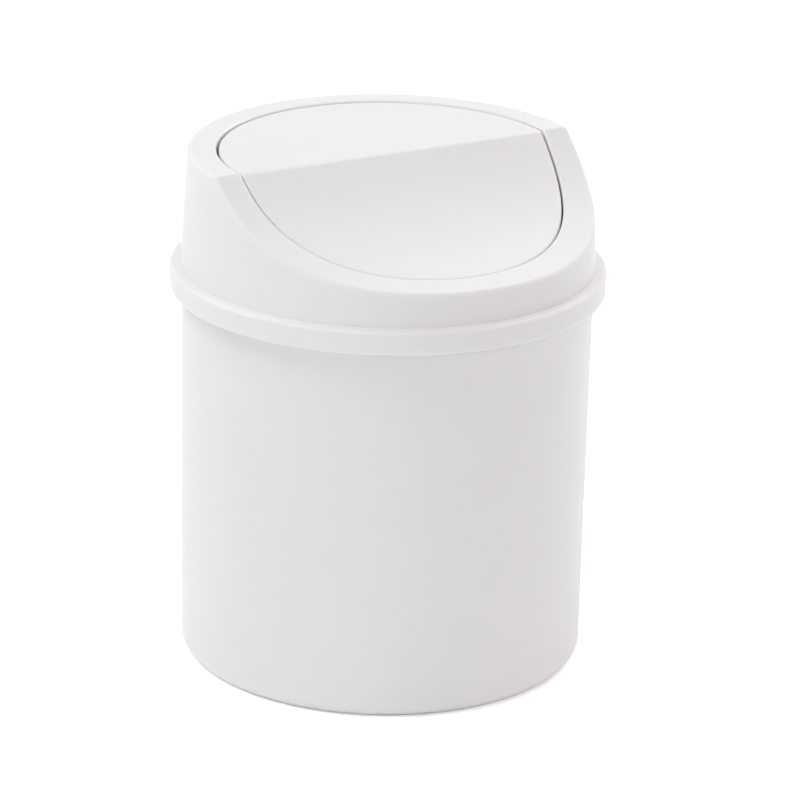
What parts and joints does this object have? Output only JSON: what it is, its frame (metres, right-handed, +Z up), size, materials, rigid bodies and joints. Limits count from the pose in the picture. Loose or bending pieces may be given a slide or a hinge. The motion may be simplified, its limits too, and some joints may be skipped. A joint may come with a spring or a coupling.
{
  "type": "countertop trash can with swing lid",
  "caption": "Small round countertop bin: plain bucket, lift-off hood scooped out at the front, and a flush round see-saw flap that falls shut by its own weight.",
  "frame": {"origin": "centre of the foot ring, on the surface that the bin stands on", "axes": "+Z up; -Y towards the front, where the hood is scooped out; +X along the flap's pins, to the right seen with +Y ahead"},
  "size_m": [0.1414, 0.1414, 0.17],
  "materials": {
    "white_plastic": "fine matte moulded texture"
  },
  "bodies": {
    "bucket": {"bucket": "white_plastic"},
    "hood": {"hood": "white_plastic"},
    "flap": {"swing_flap": "white_plastic"}
  },
  "joints": [
    {"name": "hood_lift", "type": "slide", "parent": "bucket", "child": "hood", "axis": [0, 0, 1], "range_m": [0, 0.08]},
    {"name": "flap_swing", "type": "hinge", "parent": "hood", "child": "flap", "pos_m": [0, -0.0028, 0.1636], "axis": [1, 0, 0], "range_deg": [0, 90]}
  ]
}
